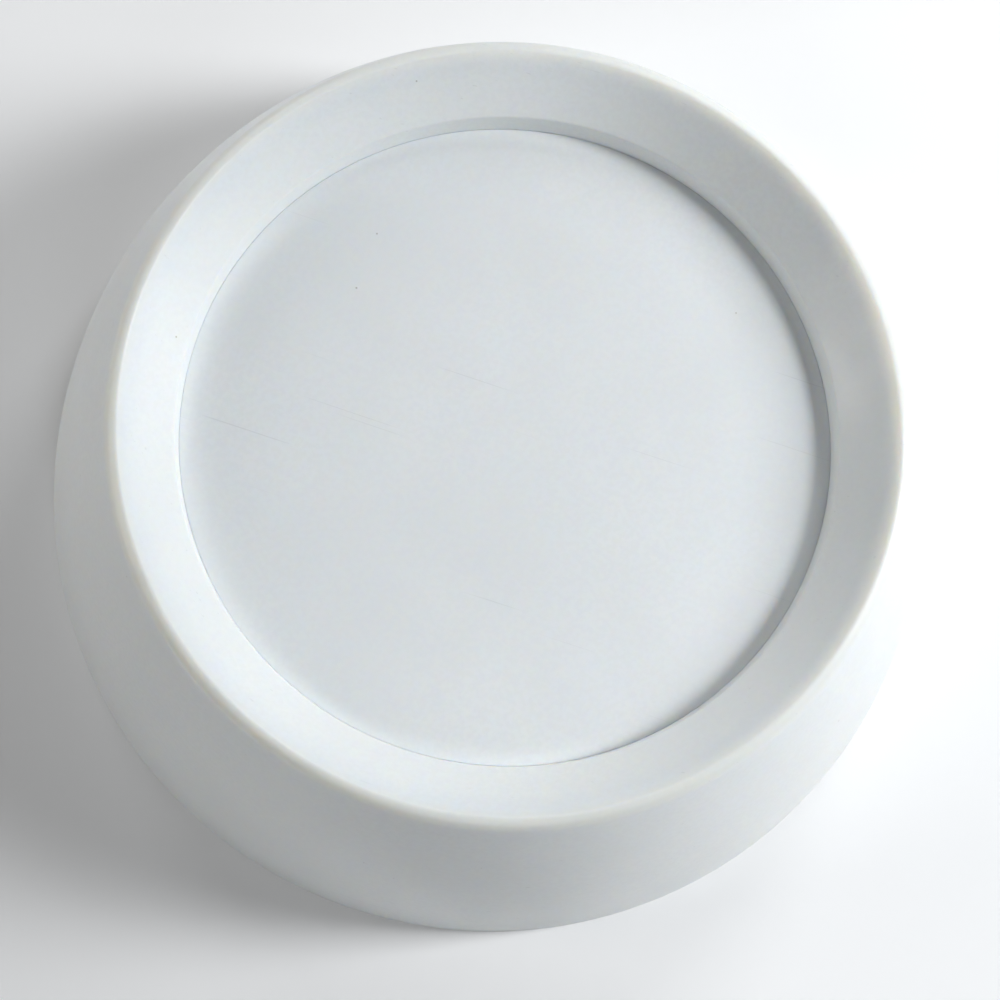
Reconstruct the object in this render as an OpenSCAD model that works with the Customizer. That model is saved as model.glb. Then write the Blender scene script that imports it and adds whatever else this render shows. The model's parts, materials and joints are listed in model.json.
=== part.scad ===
// Round cheese mold: a hollow-walled body with a funnel rim, a loose drain bottom,
// a perforated liner and a follower that presses the curd and rests on the liner.
// Millimetres, +Z up, origin at the centre of the face that the mold stands on.

/* [Mold body] */
// Outside diameter where the body stands
base_d = 280; // [270:1:300]
// Height from the base to the top of the crest
mold_h = 99; // [95:1:115]
// Diameter of the crest's highest line, where the funnel starts
crest_d = 225.5; // [218:0.5:230]
// Radius that rolls the crest over into the outer wall
crest_r = 4; // [1.5:0.1:6]
// Radius of the bulging outer wall, seen in section
bulge_r = 340; // [180:1:400]
// Depth of the funnel's lower edge below the crest
funnel_drop = 14; // [12:1:20]
// Diameter of the straight bore
bore_d = 192.5; // [186:0.5:193]
// Thickness of the outer skin and of the funnel
skin_t = 4.5; // [3.5:0.5:6]
// Thickness of the inner skin, around the bore
bore_skin_t = 4; // [3.5:0.5:5]
// Number of radial ribs between the two skins
rib_count = 24; // [12:4:36]
// Thickness of the ring that closes the hollow from below
base_ring_t = 3; // [2:0.5:4]
// Angle that each radial rib takes up, in degrees
rib_angle = 1.5; // [1:0.1:2.5]
// Number of upright drain flutes in the bore
flute_count = 24; // [12:4:36]
// Radius of a drain flute
flute_r = 2; // [1:0.5:2.5]

/* [Drain bottom] */
// Height of the undersides of the ledge and of the base ring above the base
foot_h = 2; // [1:0.5:3]
// Thickness of the ledge that carries the bottom
ledge_t = 5; // [4:0.5:7]
// Width of that ledge
ledge_w = 12; // [10:1:14]
// Thickness of the bottom plate at its rim
bottom_t = 6; // [5:0.5:8]
// Depth of the spigot and ribs under the bottom plate
spigot_h = 3; // [2:0.5:4]

/* [Liner] */
// Wall thickness of the liner at its two hems
liner_t = 4; // [3.5:0.1:5]
// Wall thickness of the liner's net
liner_net_t = 0.7; // [0.5:0.1:1]
// Height of each hem
hem_h = 3; // [2:0.5:5]
// Number of slots around the liner
liner_slots = 36; // [24:4:48]
// Number of slots around the liner's net
net_slots = 48; // [36:4:60]

/* [Follower] */
// Depth of the follower's top below the funnel's lower edge
recess_depth = 8; // [4:0.5:9]
// Amount that the wall above the follower leans outward
recess_draft = 1; // [0.5:0.1:2]
// Thickness of the flange that rests on the liner
flange_t = 8; // [7:0.5:10]
// Thickness of the plain top of the follower
top_t = 5; // [4:0.5:6]
// Height of the skirt under the flange
skirt_h = 4; // [3:0.5:6]
// Width of the skirt
skirt_w = 8; // [7:0.5:9]
// Thickness of the pressing plate
press_t = 3.5; // [3:0.5:5]

/* [Nets and screws] */
// Thickness of the round nets
net_t = 0.8; // [0.6:0.1:1]
// Thickness of the rings that hold the round nets
net_ring_t = 1.5; // [1.4:0.1:2]
// Width of those rings
net_ring_w = 7; // [6.5:0.5:8]
// Number of screws in each net ring
screw_count = 8; // [6:1:12]
// Diameter of a screw's shank
screw_d = 3; // [2.5:0.5:3.5]
// Diameter of a screw's flat head
screw_head_d = 5.6; // [5:0.1:6]
// Length of a screw that holds the follower's net
follower_screw_l = 12; // [10:1:12]
// Length of a screw that holds the bottom's net
bottom_screw_l = 5.5; // [4:0.5:5.5]

/* [Hidden] */

// Gaps between loose pieces, and the close running fit of the follower in the bore
loose_gap = 0.3;
running_gap = 0.05;
plug_gap = 0.4;
screw_gap = 0.15;
round_fn = 240;
hole_fn = 24;

// Heights, from the base up
rib_bottom = foot_h + base_ring_t;
ledge_top = foot_h + ledge_t;
bottom_top = ledge_top + bottom_t;
bottom_seat = bottom_top - net_ring_t - net_t;
funnel_edge = mold_h - funnel_drop;
follower_top = funnel_edge - recess_depth;
liner_top = follower_top - flange_t;
skirt_bottom = liner_top - skirt_h;
press_bottom = skirt_bottom - press_t;
follower_net_bottom = press_bottom - net_t;
follower_bottom = follower_net_bottom - net_ring_t;

// Radii, from the outside in
base_r = base_d / 2;
bore_r = bore_d / 2;
funnel_r = bore_r + recess_draft;
bore_skin_r = bore_r + bore_skin_t;
loose_r = bore_r - loose_gap;
liner_in_r = loose_r - liner_t;
net_r = liner_in_r - plug_gap;
ledge_r = bore_r - ledge_w;
plug_r = liner_in_r - plug_gap;
bottom_hub_r = 10;
follower_screw_r = net_r - net_ring_w / 2;

// Slots: three rows in the liner, four in its net
screw_head_t = 1;
slot_w = 2;
liner_clear_h = liner_top - bottom_top - 2 * hem_h;
slot_pitch = (liner_clear_h - 4) / 3;
net_slot_pitch = (liner_clear_h - 4) / 4;

// The crest is an arc in section. It starts level at the sharp upper edge of the funnel and rolls over
// into the outer wall, which is a wider arc down to the edge of the base, without a corner between them.
base_edge = 1.2;
crest_c = [crest_d / 2, mold_h - crest_r];
base_p = [base_r, base_edge];
funnel_p = [funnel_r, funnel_edge];
chord = base_p - crest_c;
chord_l = norm(chord);
chord_u = chord / chord_l;
inward_u = [chord_u[1], -chord_u[0]];
along = (pow(chord_l, 2) + pow(bulge_r - crest_r, 2) - pow(bulge_r, 2)) / (2 * chord_l);
across = sqrt(pow(bulge_r - crest_r, 2) - pow(along, 2));
bulge_c = crest_c + along * chord_u + across * inward_u;
crest_out_u = (crest_c - bulge_c) / norm(crest_c - bulge_c);
funnel_top_p = crest_c + [0, crest_r];
funnel_angle = atan2(funnel_top_p[1] - funnel_p[1], funnel_top_p[0] - funnel_p[0]);

// The hollow between the skins is split by a ring rib halfway across it. A shoulder in each skin
// holds the ring that closes it.
shoulder = 0.6;
ring_in_r = bore_skin_r - shoulder;
ring_out_r = base_r - skin_t + shoulder;
weld_gap = 0.1;
weld_groove = 4;
mid_rib_t = 3;
mid_rib_r = (bore_skin_r + base_r - skin_t) / 2;
roof_p = funnel_p + skin_t * [sin(funnel_angle), -cos(funnel_angle)];
function roof_z(r) = roof_p[1] + (r - roof_p[0]) * tan(funnel_angle);

// Follower ribs
follower_ribs = 8;
follower_rib_angle = 3;
hub_r = 14;
follower_mid_r = (hub_r + plug_r - skirt_w) / 2;

// Places the children on a circle of radius r
module ring_of(count, r) {
    for (i = [0 : count - 1]) {
        rotate(i * 360 / count) translate([r, 0, 0]) children();
    }
}

module ring(r_out, r_in, z, t) {
    translate([0, 0, z]) difference() {
        cylinder(r = r_out, h = t, $fn = round_fn);
        translate([0, 0, -1]) cylinder(r = r_in, h = t + 2, $fn = round_fn);
    }
}

// Rings of round holes: ring k has 8k holes, so that none of them meets one of 8 radial ribs
module drain_holes(rings, first_r, pitch, d, z, h) {
    for (k = [1 : rings]) {
        rotate(180 / (8 * k)) ring_of(8 * k, first_r + (k - 1) * pitch) {
            translate([0, 0, z]) cylinder(d = d, h = h, $fn = hole_fn);
        }
    }
}

module drum_section() {
    intersection() {
        translate(bulge_c) circle(r = bulge_r, $fn = 1440);
        polygon([
            [ledge_r, foot_h],
            [ring_in_r, foot_h],
            [ring_in_r, rib_bottom],
            [ring_out_r, rib_bottom],
            [ring_out_r, 0],
            [base_r - base_edge, 0],
            [base_r + mold_h, base_edge + mold_h],
            crest_c + mold_h * crest_out_u,
            crest_c,
            funnel_top_p,
            funnel_p,
            [bore_r, follower_top],
            [bore_r, ledge_top],
            [ledge_r, ledge_top],
        ]);
    }
    intersection() {
        translate(crest_c) circle(r = crest_r, $fn = 96);
        translate(crest_c - [0, crest_r]) square([crest_r, 2 * crest_r]);
    }
}

// Section of the hollow between radii r0 and r1
module hollow_section(r0, r1) {
    intersection() {
        translate(bulge_c) circle(r = bulge_r - skin_t, $fn = 1440);
        polygon([[r0, -1], [r1, -1], [r1, roof_z(r1)], [r0, roof_z(r0)]]);
    }
}

module hollow(r0, r1) {
    for (i = [0 : rib_count - 1]) {
        rotate(i * 360 / rib_count + rib_angle / 2) {
            rotate_extrude(angle = 360 / rib_count - rib_angle, $fn = round_fn) hollow_section(r0, r1);
        }
    }
}

module mold_body() {
    color("#dfe3e4") difference() {
        rotate_extrude($fn = round_fn) drum_section();
        hollow(bore_skin_r, mid_rib_r - mid_rib_t / 2);
        hollow(mid_rib_r + mid_rib_t / 2, base_r);
        rotate(180 / flute_count) ring_of(flute_count, bore_r) {
            cylinder(r = flute_r, h = skirt_bottom, $fn = hole_fn);
        }
    }
}

// Closes the hollow from below: it is welded in against the ribs and a shoulder of each skin
module base_ring() {
    color("#dadee0") difference() {
        ring(ring_out_r - weld_gap, ring_in_r + weld_gap, foot_h, base_ring_t);
        for (r = [ring_in_r + weld_groove, ring_out_r - weld_groove]) {
            ring(r + weld_groove / 4, r - weld_groove / 4, foot_h - 1, 1.6);
        }
    }
}

// A round hole for each screw of a net ring, all the way up from the base
module screw_holes(r, d) {
    rotate(180 / screw_count) ring_of(screw_count, r) cylinder(d = d, h = mold_h, $fn = hole_fn);
}

// A round net with its lower face at height z
module round_net(z, r) {
    difference() {
        translate([0, 0, z]) cylinder(r = net_r, h = net_t, $fn = round_fn);
        drain_holes(8, 9, 9, 2.2, z - 1, net_t + 2);
        screw_holes(r, screw_d + screw_gap);
    }
}

// A flat ring with its lower face at z. The screw heads are let into it from height seat_z up.
module net_ring(z, r_out, seat_z) {
    difference() {
        ring(r_out, r_out - net_ring_w, z, net_ring_t);
        screw_holes(r_out - net_ring_w / 2, screw_d + screw_gap);
        rotate(180 / screw_count) ring_of(screw_count, r_out - net_ring_w / 2) {
            translate([0, 0, seat_z]) cylinder(d = screw_head_d + screw_gap, h = screw_head_t + 1, $fn = 32);
        }
    }
}

// A low-head screw, head up, with the top of its head at the origin
module screw(length) {
    difference() {
        union() {
            translate([0, 0, -screw_head_t]) cylinder(d = screw_head_d, h = screw_head_t, $fn = 32);
            translate([0, 0, -length]) cylinder(d = screw_d, h = length, $fn = hole_fn);
        }
        translate([0, 0, -0.6]) cylinder(d = 2.3, h = 1, $fn = 6);
    }
}

module bottom_plate() {
    color("#d9dee0") difference() {
        union() {
            translate([0, 0, ledge_top]) cylinder(r = loose_r, h = bottom_t, $fn = round_fn);
            ring(ledge_r - plug_gap, ledge_r - 5, ledge_top - spigot_h, spigot_h);
            translate([0, 0, ledge_top - spigot_h]) cylinder(r = bottom_hub_r, h = spigot_h, $fn = 96);
            ring_of(8, bottom_hub_r - 2) {
                translate([0, -1.5, ledge_top - spigot_h]) cube([ledge_r - bottom_hub_r, 3, spigot_h]);
            }
        }
        translate([0, 0, bottom_seat]) cylinder(r = net_r + screw_gap, h = bottom_t, $fn = round_fn);
        drain_holes(6, 15, 12, 3.2, 0, bottom_top);
        screw_holes(net_r - net_ring_w / 2, screw_d + screw_gap);
    }
}

module bottom_net() {
    color("#c9ced2") round_net(bottom_seat, net_r - net_ring_w / 2);
}

module bottom_net_ring() {
    color("#d9dee0") net_ring(bottom_top - net_ring_t, net_r, bottom_top - screw_head_t);
}

module bottom_screws() {
    color("silver") rotate(180 / screw_count) ring_of(screw_count, net_r - net_ring_w / 2) {
        translate([0, 0, bottom_top]) screw(bottom_screw_l);
    }
}

module liner_sleeve() {
    color("#dde1e2") difference() {
        ring(loose_r, liner_in_r, bottom_top, liner_top - bottom_top);
        translate([0, 0, bottom_top + hem_h]) {
            cylinder(r = liner_in_r + liner_net_t + screw_gap, h = liner_clear_h, $fn = round_fn);
        }
        for (row = [0 : 2]) {
            rotate(row * 180 / liner_slots) ring_of(liner_slots, liner_in_r) {
                translate([-1, -slot_w / 2, bottom_top + hem_h + 2 + row * slot_pitch]) {
                    cube([liner_t + 3, slot_w, slot_pitch - 3]);
                }
            }
        }
    }
}

module liner_net() {
    color("#c9ced2") difference() {
        ring(liner_in_r + liner_net_t, liner_in_r, bottom_top + hem_h, liner_clear_h);
        for (row = [0 : 3]) {
            rotate(row * 180 / net_slots) ring_of(net_slots, liner_in_r) {
                translate([-1, -0.5, bottom_top + hem_h + 2 + row * net_slot_pitch]) {
                    cube([liner_net_t + 2, 1, net_slot_pitch - 3]);
                }
            }
        }
    }
}

// One sector pocket under the follower's top, between radii r0 and r1
module follower_pockets(r0, r1) {
    for (i = [0 : follower_ribs - 1]) {
        rotate(i * 360 / follower_ribs + follower_rib_angle / 2) {
            rotate_extrude(angle = 360 / follower_ribs - follower_rib_angle, $fn = round_fn) {
                translate([r0, skirt_bottom - 1]) square([r1 - r0, follower_top - top_t - skirt_bottom + 1]);
            }
        }
    }
}

module follower_plate() {
    color("#d3dade") difference() {
        union() {
            translate([0, 0, liner_top]) cylinder(r = bore_r - running_gap, h = flange_t, $fn = round_fn);
            translate([0, 0, skirt_bottom]) cylinder(r = plug_r, h = skirt_h, $fn = round_fn);
        }
        follower_pockets(hub_r, follower_mid_r - 1.5);
        follower_pockets(follower_mid_r + 1.5, plug_r - skirt_w);
        rotate(180 / screw_count) ring_of(screw_count, follower_screw_r) {
            cylinder(d = screw_d + screw_gap, h = follower_bottom + follower_screw_l + 1, $fn = hole_fn);
        }
    }
}

module follower_press_plate() {
    color("#d9dee0") difference() {
        translate([0, 0, press_bottom]) cylinder(r = plug_r, h = press_t, $fn = round_fn);
        drain_holes(6, 15, 12, 3.2, press_bottom - 1, press_t + 2);
        screw_holes(follower_screw_r, screw_d + screw_gap);
    }
}

module follower_net() {
    color("#c9ced2") round_net(follower_net_bottom, follower_screw_r);
}

module follower_net_ring() {
    color("#d9dee0") net_ring(follower_bottom, net_r, follower_bottom - 1);
}

module follower_screws() {
    color("silver") rotate(180 / screw_count) ring_of(screw_count, follower_screw_r) {
        translate([0, 0, follower_bottom]) mirror([0, 0, 1]) screw(follower_screw_l);
    }
}

mold_body();
base_ring();
bottom_plate();
bottom_net();
bottom_net_ring();
bottom_screws();
liner_sleeve();
liner_net();
follower_plate();
follower_press_plate();
follower_net();
follower_net_ring();
follower_screws();
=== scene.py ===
"""Looks of the round cheese mold: milky polyethylene, fine nets and steel screws on a pale studio floor."""

import json
import math

import bpy
from mathutils import Matrix, Vector


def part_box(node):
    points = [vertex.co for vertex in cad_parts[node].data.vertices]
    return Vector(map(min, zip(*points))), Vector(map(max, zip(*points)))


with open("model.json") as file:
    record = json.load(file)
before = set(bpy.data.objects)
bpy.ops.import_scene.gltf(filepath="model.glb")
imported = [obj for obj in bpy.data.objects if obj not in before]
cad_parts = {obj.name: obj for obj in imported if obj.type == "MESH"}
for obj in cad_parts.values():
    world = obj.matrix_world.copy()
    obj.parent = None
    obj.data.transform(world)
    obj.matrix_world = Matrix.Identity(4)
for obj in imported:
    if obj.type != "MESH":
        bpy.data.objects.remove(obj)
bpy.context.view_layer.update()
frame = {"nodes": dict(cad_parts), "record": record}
nodes = frame["nodes"]

MM = 0.001


# ---------------------------------------------------------------- places, read from the frame

body_low, body_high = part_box("mold_body")
base_r = (body_high.x - body_low.x) / 2
crest_z = body_high.z


def radius_at_top(node, depth):
    """Largest radius of the node's points that lie within depth of its highest point."""
    points = [v.co for v in node.data.vertices]
    top = max(p.z for p in points)
    return max(math.hypot(p.x, p.y) for p in points if p.z > top - depth)


crest_r = radius_at_top(nodes["mold_body"], 0.02 * MM)
sleeve_r = min(math.hypot(v.co.x, v.co.y) for v in nodes["liner_net"].data.vertices)


# ---------------------------------------------------------------- camera

CAMERA_TILT = math.radians(12.29)     # how far the view leans from straight down
CAMERA_ROLL = math.radians(18.41)     # how far the camera is turned about its own axis
CAMERA_DISTANCE = 6.01 * base_r
CAMERA_LENS = 93.6                    # focal length in millimetres
CAMERA_SENSOR = 36                    # width of the sensor in millimetres
CAMERA_AIM = (0.0214, 0.0158)         # where the lens axis passes the base's centre, in base radii


def add_camera():
    forward = Vector((0, math.sin(CAMERA_TILT), -math.cos(CAMERA_TILT)))
    level_up = Vector((0, math.cos(CAMERA_TILT), math.sin(CAMERA_TILT)))
    level_right = Vector((1, 0, 0))
    right = math.cos(CAMERA_ROLL) * level_right + math.sin(CAMERA_ROLL) * level_up
    up = math.cos(CAMERA_ROLL) * level_up - math.sin(CAMERA_ROLL) * level_right
    place = base_r * (CAMERA_AIM[0] * right - CAMERA_AIM[1] * up) - CAMERA_DISTANCE * forward
    camera = bpy.data.objects.new("camera", bpy.data.cameras.new("camera"))
    camera.data.lens = CAMERA_LENS
    camera.data.sensor_width = CAMERA_SENSOR
    turn = Matrix((right, up, -forward)).transposed().to_4x4()
    camera.matrix_world = Matrix.Translation(place) @ turn
    bpy.context.scene.collection.objects.link(camera)
    bpy.context.scene.camera = camera


# ---------------------------------------------------------------- materials

class Nodes:
    """A short way to write a material's node tree. add() returns the new node, the other calls its output."""

    def __init__(self, name):
        self.material = bpy.data.materials.new(name)
        self.material.use_nodes = True
        self.tree = self.material.node_tree
        self.shader = self.tree.nodes["Principled BSDF"]
        self.place = self.add("ShaderNodeTexCoord").outputs["Object"]

    def add(self, kind, **settings):
        node = self.tree.nodes.new(kind)
        for key, value in settings.items():
            setattr(node, key, value)
        return node

    def feed(self, socket, value):
        if isinstance(value, bpy.types.NodeSocket):
            self.tree.links.new(value, socket)
        else:
            socket.default_value = value

    def math(self, operation, a, b=0.0, clamp=False):
        node = self.add("ShaderNodeMath", operation=operation, use_clamp=clamp)
        self.feed(node.inputs[0], a)
        self.feed(node.inputs[1], b)
        return node.outputs[0]

    def vector(self, operation, a, b=(0, 0, 0)):
        node = self.add("ShaderNodeVectorMath", operation=operation)
        self.feed(node.inputs[0], a)
        self.feed(node.inputs[1], b)
        return node.outputs["Value" if operation in ("LENGTH", "DISTANCE") else "Vector"]

    def noise(self, scale, detail=3.0, roughness=0.5, place=None):
        node = self.add("ShaderNodeTexNoise")
        self.feed(node.inputs["Vector"], place or self.place)
        node.inputs["Scale"].default_value = scale
        node.inputs["Detail"].default_value = detail
        node.inputs["Roughness"].default_value = roughness
        return node.outputs["Fac"]

    def spread(self, value, low, high, to_low=0.0, to_high=1.0):
        node = self.add("ShaderNodeMapRange", interpolation_type="SMOOTHSTEP")
        self.feed(node.inputs["Value"], value)
        for socket, number in zip(("From Min", "From Max", "To Min", "To Max"), (low, high, to_low, to_high)):
            node.inputs[socket].default_value = number
        return node.outputs["Result"]

    def mix(self, factor, a, b):
        node = self.add("ShaderNodeMix", data_type="RGBA")
        self.feed(node.inputs["Factor"], factor)
        self.feed(node.inputs["A"], a)
        self.feed(node.inputs["B"], b)
        return node.outputs["Result"]

    def bump(self, height, depth, strength=1.0, under=None):
        node = self.add("ShaderNodeBump")
        node.inputs["Strength"].default_value = strength
        node.inputs["Distance"].default_value = depth
        self.feed(node.inputs["Height"], height)
        if under is not None:
            self.feed(node.inputs["Normal"], under)
        return node.outputs["Normal"]


EDGE_WEAR = 1.2 * MM       # how far the mold's sharp edges look rubbed round
EDGE_CRISP = 0.1 * MM      # the same for the follower, whose edge meets the bore
CREST_WIDTH = 1.5 * MM     # from the crest's top to the middle of its roll
PAINTED_GLOW_REACH = 5 * MM        # reach of the painted glow: a warm tint near the crest that stands in for light coming through it
CREST_GLOW = 15 * MM       # reach of the light that comes through the crest
CREST_DEPTH = 10 * MM      # how deep light sinks into it
SPECK_SIZE = 0.4 * MM
NET_PITCH = 1.2 * MM       # from one thread of a net to the next
SLEEVE_MARGIN = 0.2 * MM   # keeps the liner's net, and only it, beyond the radius that marks it

# Scale of each pattern, in features per metre
CLOUDS = 14
WAVES = 22
COOL_PATCHES = 31
WORN_PATCHES = 48
SPECK_CELLS = 90
FINE_SPOTS = 620
GRAIN = 1500

# How a plastic's colour is changed: by one factor, or by one each for red, green and blue
CLOUD_DARK = 0.975
CLOUD_LIGHT = 1.015
SPOT_DARK = 0.955
HAIRLINE_DARK = 0.8
COOL_TINT = (0.975, 0.99, 1.01)
# painted glow: the warm tint that stands in for light coming through the crest
PAINTED_GLOW_TINT = (0.97, 0.94, 0.82)

DIRT = (0.25, 0.22, 0.17, 1)
SINK_BY_COLOR = (1.0, 0.82, 0.62)    # how deep red, green and blue light sink, as shares of the depth
PLASTIC_IOR = 1.5


def shade(color, factor):
    return (*(min(1.0, c * factor) for c in color), 1)


def tint(color, factors):
    return (*(c * factor for c, factor in zip(color, factors)), 1)


def specks(n, cells_per_m, size, share):
    """Mask of small specks: one to a cell, kept in the given share of the cells."""
    cells = n.add("ShaderNodeTexVoronoi", feature="F1")
    n.feed(cells.inputs["Vector"], n.place)
    cells.inputs["Scale"].default_value = cells_per_m
    near = n.spread(cells.outputs["Distance"], size * cells_per_m, 0.5 * size * cells_per_m)
    pick = n.add("ShaderNodeSeparateColor")
    n.feed(pick.inputs["Color"], cells.outputs["Color"])
    kept = n.math("GREATER_THAN", pick.outputs["Red"], 1 - share)
    return n.math("MULTIPLY", near, kept)


def scratches(n, turn, along, across, amount):
    """Mask of sparse hairlines that run one way: noise that is drawn out along them."""
    mapping = n.add("ShaderNodeMapping")
    n.feed(mapping.inputs["Vector"], n.place)
    mapping.inputs["Rotation"].default_value = (0, 0, math.radians(turn))
    mapping.inputs["Scale"].default_value = (along, across, across)
    lines = n.noise(1.0, 2.0, 0.5, mapping.outputs["Vector"])
    return n.spread(lines, 1 - amount, 1 - amount + 0.04)


def distance_to_crest(n):
    """Distance of a point from the rounded crest, seen in section."""
    flat = n.vector("MULTIPLY", n.place, (1, 1, 0))
    out = n.math("SUBTRACT", n.vector("LENGTH", flat), crest_r + CREST_WIDTH)
    split = n.add("ShaderNodeSeparateXYZ")
    n.feed(split.inputs[0], n.place)
    down = n.math("SUBTRACT", split.outputs["Z"], crest_z)
    return n.math("SQRT", n.math("ADD", n.math("MULTIPLY", out, out), n.math("MULTIPLY", down, down)))


def milky_plastic(name, color, roughness, depth, edge, crest=False):
    """Satin polyethylene that light sinks into: cloudy colour, a fine moulded grain, specks and hairlines."""
    n = Nodes(name)
    clouds = n.spread(n.noise(CLOUDS, 4), 0.3, 0.7)
    painted = n.mix(clouds, shade(color, CLOUD_DARK), shade(color, CLOUD_LIGHT))
    cool = n.spread(n.noise(COOL_PATCHES, 2), 0.45, 0.75, 0, 0.5)
    painted = n.mix(cool, painted, tint(color, COOL_TINT))
    spots = n.spread(n.noise(FINE_SPOTS, 2), 0.35, 0.65, 0, 0.5)
    painted = n.mix(spots, painted, shade(color, SPOT_DARK))
    if crest:
        gap = distance_to_crest(n)
        # Painted glow: the colour turns warm towards the crest, standing in for light that comes through the
        # plastic there
        painted_glow_mask = n.spread(gap, PAINTED_GLOW_REACH, 1 * MM, 0, 0.4)
        painted = n.mix(painted_glow_mask, painted, tint(color, PAINTED_GLOW_TINT))
        glow = n.spread(gap, CREST_GLOW, 2 * MM, depth, CREST_DEPTH)
        n.feed(n.shader.inputs["Subsurface Scale"], glow)
    else:
        n.shader.inputs["Subsurface Scale"].default_value = depth
    dirt = specks(n, SPECK_CELLS, SPECK_SIZE, 0.3)
    painted = n.mix(n.math("MULTIPLY", dirt, 0.5), painted, DIRT)
    hairlines = n.math("ADD", scratches(n, 25, 9, 900, 0.27), scratches(n, -50, 11, 800, 0.26), clamp=True)
    painted = n.mix(n.math("MULTIPLY", hairlines, 0.5), painted, shade(color, HAIRLINE_DARK))
    n.feed(n.shader.inputs["Base Color"], painted)

    worn = n.spread(n.noise(WORN_PATCHES, 3), 0.3, 0.7, roughness - 0.05, roughness + 0.07)
    n.feed(n.shader.inputs["Roughness"], worn)
    soft_edges = n.add("ShaderNodeBevel", samples=8)
    soft_edges.inputs["Radius"].default_value = edge
    normal = n.bump(n.noise(GRAIN, 2), 0.02 * MM, 0.5, soft_edges.outputs["Normal"])
    normal = n.bump(n.noise(WAVES, 1), 0.15 * MM, 0.25, normal)
    normal = n.bump(hairlines, -0.02 * MM, 0.35, normal)
    n.feed(n.shader.inputs["Normal"], normal)

    n.shader.inputs["Subsurface Weight"].default_value = 1
    n.shader.inputs["Subsurface Radius"].default_value = SINK_BY_COLOR
    n.shader.inputs["IOR"].default_value = PLASTIC_IOR
    return n.material


def woven_net(name, thread, gap):
    """Woven polypropylene: threads along X and Y in the flat nets, round and up in the liner's net; the
    openings between the threads get painted shade.
    """
    n = Nodes(name)
    split = n.add("ShaderNodeSeparateXYZ")
    n.feed(split.inputs[0], n.place)
    x, y, z = (split.outputs[axis] for axis in "XYZ")
    edge_r = sleeve_r - SLEEVE_MARGIN
    radius = n.vector("LENGTH", n.vector("MULTIPLY", n.place, (1, 1, 0)))
    around = n.math("MULTIPLY", n.math("ARCTAN2", y, x), edge_r)

    def threads_along(way):
        return n.math("SINE", n.math("MULTIPLY", way, 2 * math.pi / NET_PITCH))

    def weave(first, second):
        return n.math("MAXIMUM", threads_along(first), threads_along(second))

    in_sleeve = n.math("GREATER_THAN", radius, edge_r)
    in_flat = n.math("SUBTRACT", 1.0, in_sleeve)
    flat_weave = n.math("MULTIPLY", in_flat, weave(x, y))
    sleeve_weave = n.math("MULTIPLY", in_sleeve, weave(around, z))
    threads = n.spread(n.math("ADD", flat_weave, sleeve_weave), -0.3, 0.6)
    clouded = n.mix(n.spread(n.noise(60, 3), 0.3, 0.7), shade(thread, 0.95), shade(thread, 1.03))
    # painted shade: the openings between the threads are coloured dark grey
    n.feed(n.shader.inputs["Base Color"], n.mix(threads, (*gap, 1), clouded))
    n.feed(n.shader.inputs["Roughness"], n.spread(threads, 0, 1, 0.65, 0.42))
    n.feed(n.shader.inputs["Normal"], n.bump(threads, 0.15 * MM, 0.8))
    return n.material


def steel(name):
    n = Nodes(name)
    streaks = scratches(n, 12, 60, 2600, 0.5)
    n.feed(n.shader.inputs["Base Color"], n.mix(streaks, (0.66, 0.66, 0.65, 1), (0.76, 0.76, 0.75, 1)))
    n.feed(n.shader.inputs["Roughness"], n.spread(n.noise(700), 0.3, 0.7, 0.34, 0.48))
    n.feed(n.shader.inputs["Normal"], n.bump(streaks, 0.01 * MM, 0.4))
    n.shader.inputs["Metallic"].default_value = 1
    return n.material


def paint(node, material):
    node.data.materials.clear()
    node.data.materials.append(material)


# ---------------------------------------------------------------- stage

COOL = (0.98, 1.0, 1.02)
COOLER = (0.95, 1.0, 1.05)
WARM = (1.03, 1.0, 0.965)
FLOOR_SIZE = 12
FLOOR_DROP = 0.05 * MM     # keeps the floor just clear of the foot
FLOOR_GLOW = 0.05          # the floor is a table that is faintly lit from below
SKY_STRENGTH = 0.01

# Name, azimuth and elevation in degrees, distance, width and height in metres, watts, colour
LIGHTS = (
    ("window", 20, 42, 1.2, 0.26, 0.6, 11.6, COOL),
    ("back right", 78, 38, 1.6, 0.5, 0.5, 5.2, COOL),
    ("low back right", 78, 15, 1.6, 0.5, 0.5, 1.3, COOL),
    ("low back", 138, 24, 1.6, 0.5, 0.5, 3.3, COOL),
    ("low left", 198, 26, 1.6, 0.5, 0.5, 4.9, WARM),
    ("front", 288, 38, 1.6, 0.5, 0.5, 2.8, COOLER),
)


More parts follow.
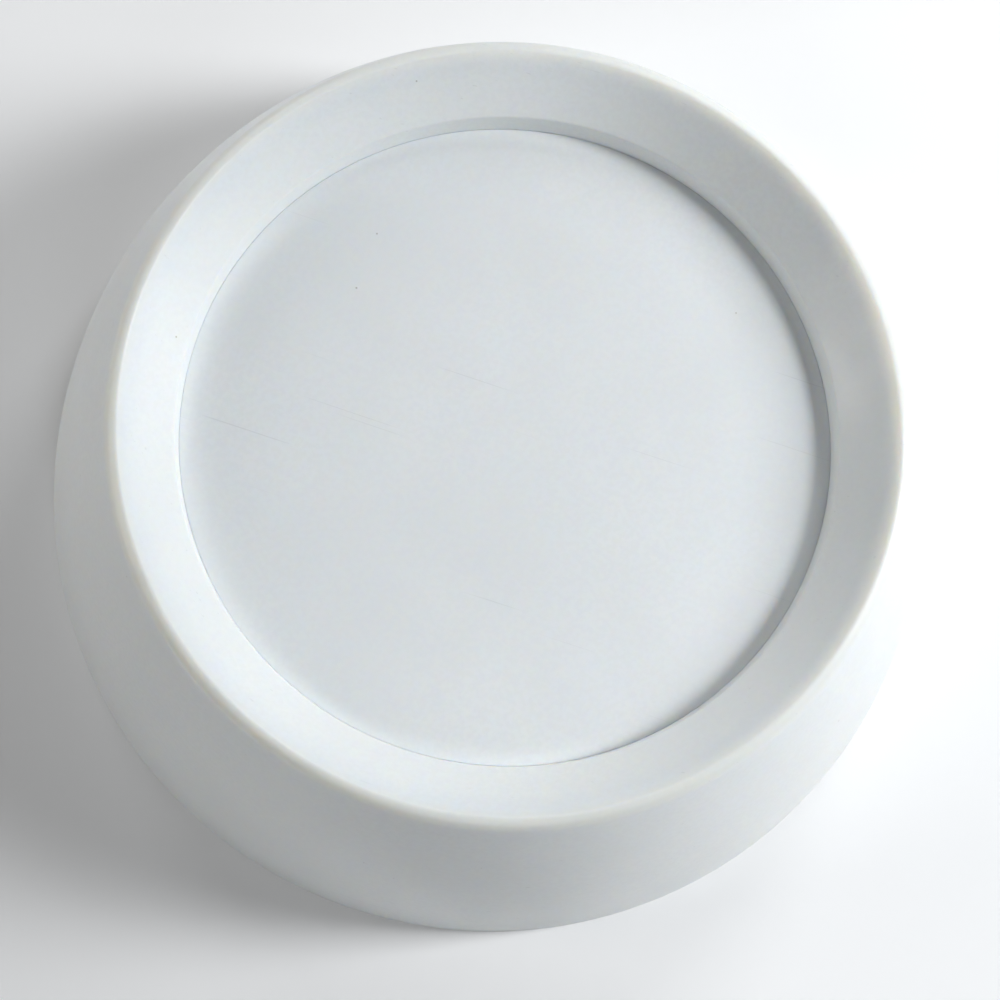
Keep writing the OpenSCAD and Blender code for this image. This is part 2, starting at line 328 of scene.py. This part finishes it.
def add_floor():
    bpy.ops.mesh.primitive_plane_add(size=FLOOR_SIZE, location=(0, 0, -FLOOR_DROP))
    floor = bpy.context.object
    floor.name = "floor"
    n = Nodes("floor")
    n.feed(n.shader.inputs["Base Color"], n.mix(n.noise(3), (0.88, 0.88, 0.88, 1), (0.91, 0.91, 0.91, 1)))
    n.shader.inputs["Roughness"].default_value = 0.9
    n.shader.inputs["Emission Color"].default_value = (1, 1, 1, 1)
    n.shader.inputs["Emission Strength"].default_value = FLOOR_GLOW
    paint(floor, n.material)


def add_area(name, azimuth, elevation, distance, width, height, power, color):
    """A soft light that faces the base's centre. Azimuth 0 is +X, turning towards +Y."""
    a, e = math.radians(azimuth), math.radians(elevation)
    place = distance * Vector((math.cos(a) * math.cos(e), math.sin(a) * math.cos(e), math.sin(e)))
    light = bpy.data.lights.new(name, "AREA")
    light.shape = "RECTANGLE"
    light.size = width
    light.size_y = height
    light.energy = power
    light.color = color
    lamp = bpy.data.objects.new(name, light)
    lamp.matrix_world = Matrix.Translation(place) @ place.to_track_quat("Z", "Y").to_matrix().to_4x4()
    bpy.context.scene.collection.objects.link(lamp)


def add_sky(strength):
    world = bpy.data.worlds.new("studio")
    world.use_nodes = True
    world.node_tree.nodes["Background"].inputs["Color"].default_value = (1, 1, 1, 1)
    world.node_tree.nodes["Background"].inputs["Strength"].default_value = strength
    bpy.context.scene.world = world


bpy.context.scene.view_settings.view_transform = "Standard"
add_camera()
materials = {
    "body_plastic": milky_plastic("body_plastic", (0.845, 0.87, 0.87), 0.36, 1.2 * MM, EDGE_WEAR, crest=True),
    "follower_plastic": milky_plastic("follower_plastic", (0.83, 0.855, 0.865), 0.42, 0.6 * MM, EDGE_CRISP),
    # the net's dark second colour is painted shade for the openings between its threads
    "net_plastic": woven_net("net_plastic", (0.78, 0.80, 0.80), (0.42, 0.43, 0.42)),
    "steel": steel("steel"),
}
slots = {part["node"]: part["material_slot"] for part in frame["record"]["subparts"]}
for name, node in nodes.items():
    paint(node, materials[slots[name]])
add_floor()
add_sky(SKY_STRENGTH)
for light in LIGHTS:
    add_area(*light)
